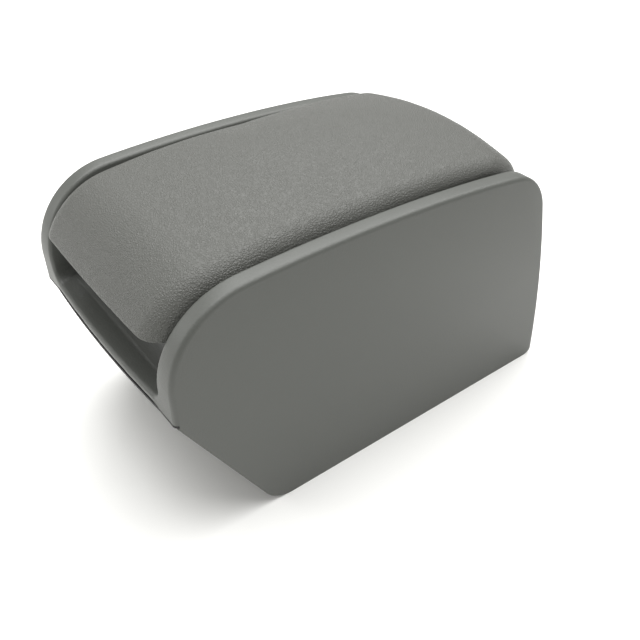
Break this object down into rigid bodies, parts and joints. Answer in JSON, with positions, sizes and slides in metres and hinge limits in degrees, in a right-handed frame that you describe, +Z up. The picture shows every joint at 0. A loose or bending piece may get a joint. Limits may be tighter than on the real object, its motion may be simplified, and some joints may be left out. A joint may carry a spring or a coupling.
{
  "type": "car centre armrest",
  "caption": "Car centre armrest with a padded leather lid that hinges up at the rear, grey moulded cheeks, a finger scoop at the front and a storage bin inside",
  "frame": {"origin": "middle of the underside, at floor height", "axes": "+Z up, the finger scoop faces -Y, the hinge is at +Y, X runs across the width"},
  "size_m": [0.18, 0.3097, 0.1912],
  "materials": {
    "shell_plastic": "grained moulded ABS, mid grey",
    "lid_leather": "pebble-grain coated leather, mid grey",
    "bin_plastic": "fine-grained moulded ABS, black",
    "black_rubber": "matte moulded rubber, black",
    "plate_steel": "black coated pressed steel",
    "zinc_steel": "bright zinc plate",
    "pad_foam": "moulded open-cell foam"
  },
  "bodies": {
    "base": {"outer_shell": "shell_plastic", "storage_bin": "bin_plastic", "bin_mat": "black_rubber", "base_plate": "plate_steel", "base_plate_screws": "zinc_steel", "bin_flange_screws": "zinc_steel", "lip_seal": "black_rubber", "hinge_base_leaf": "zinc_steel", "hinge_rod": "zinc_steel", "hinge_base_screws": "zinc_steel", "catch_striker": "zinc_steel", "striker_screws": "zinc_steel", "bump_stops": "black_rubber"},
    "lid": {"lid_cover": "lid_leather", "foam_pad": "pad_foam", "lid_carrier": "bin_plastic", "lid_inner_panel": "bin_plastic", "hinge_lid_leaf": "zinc_steel", "hinge_lid_screws": "zinc_steel", "catch_magnet": "zinc_steel", "inner_panel_screws": "zinc_steel"}
  },
  "joints": [
    {"name": "lid_hinge", "type": "hinge", "parent": "base", "child": "lid", "pos_m": [0, 0.129, 0.1425], "axis": [-1, 0, 0], "range_deg": [0, 95]}
  ]
}
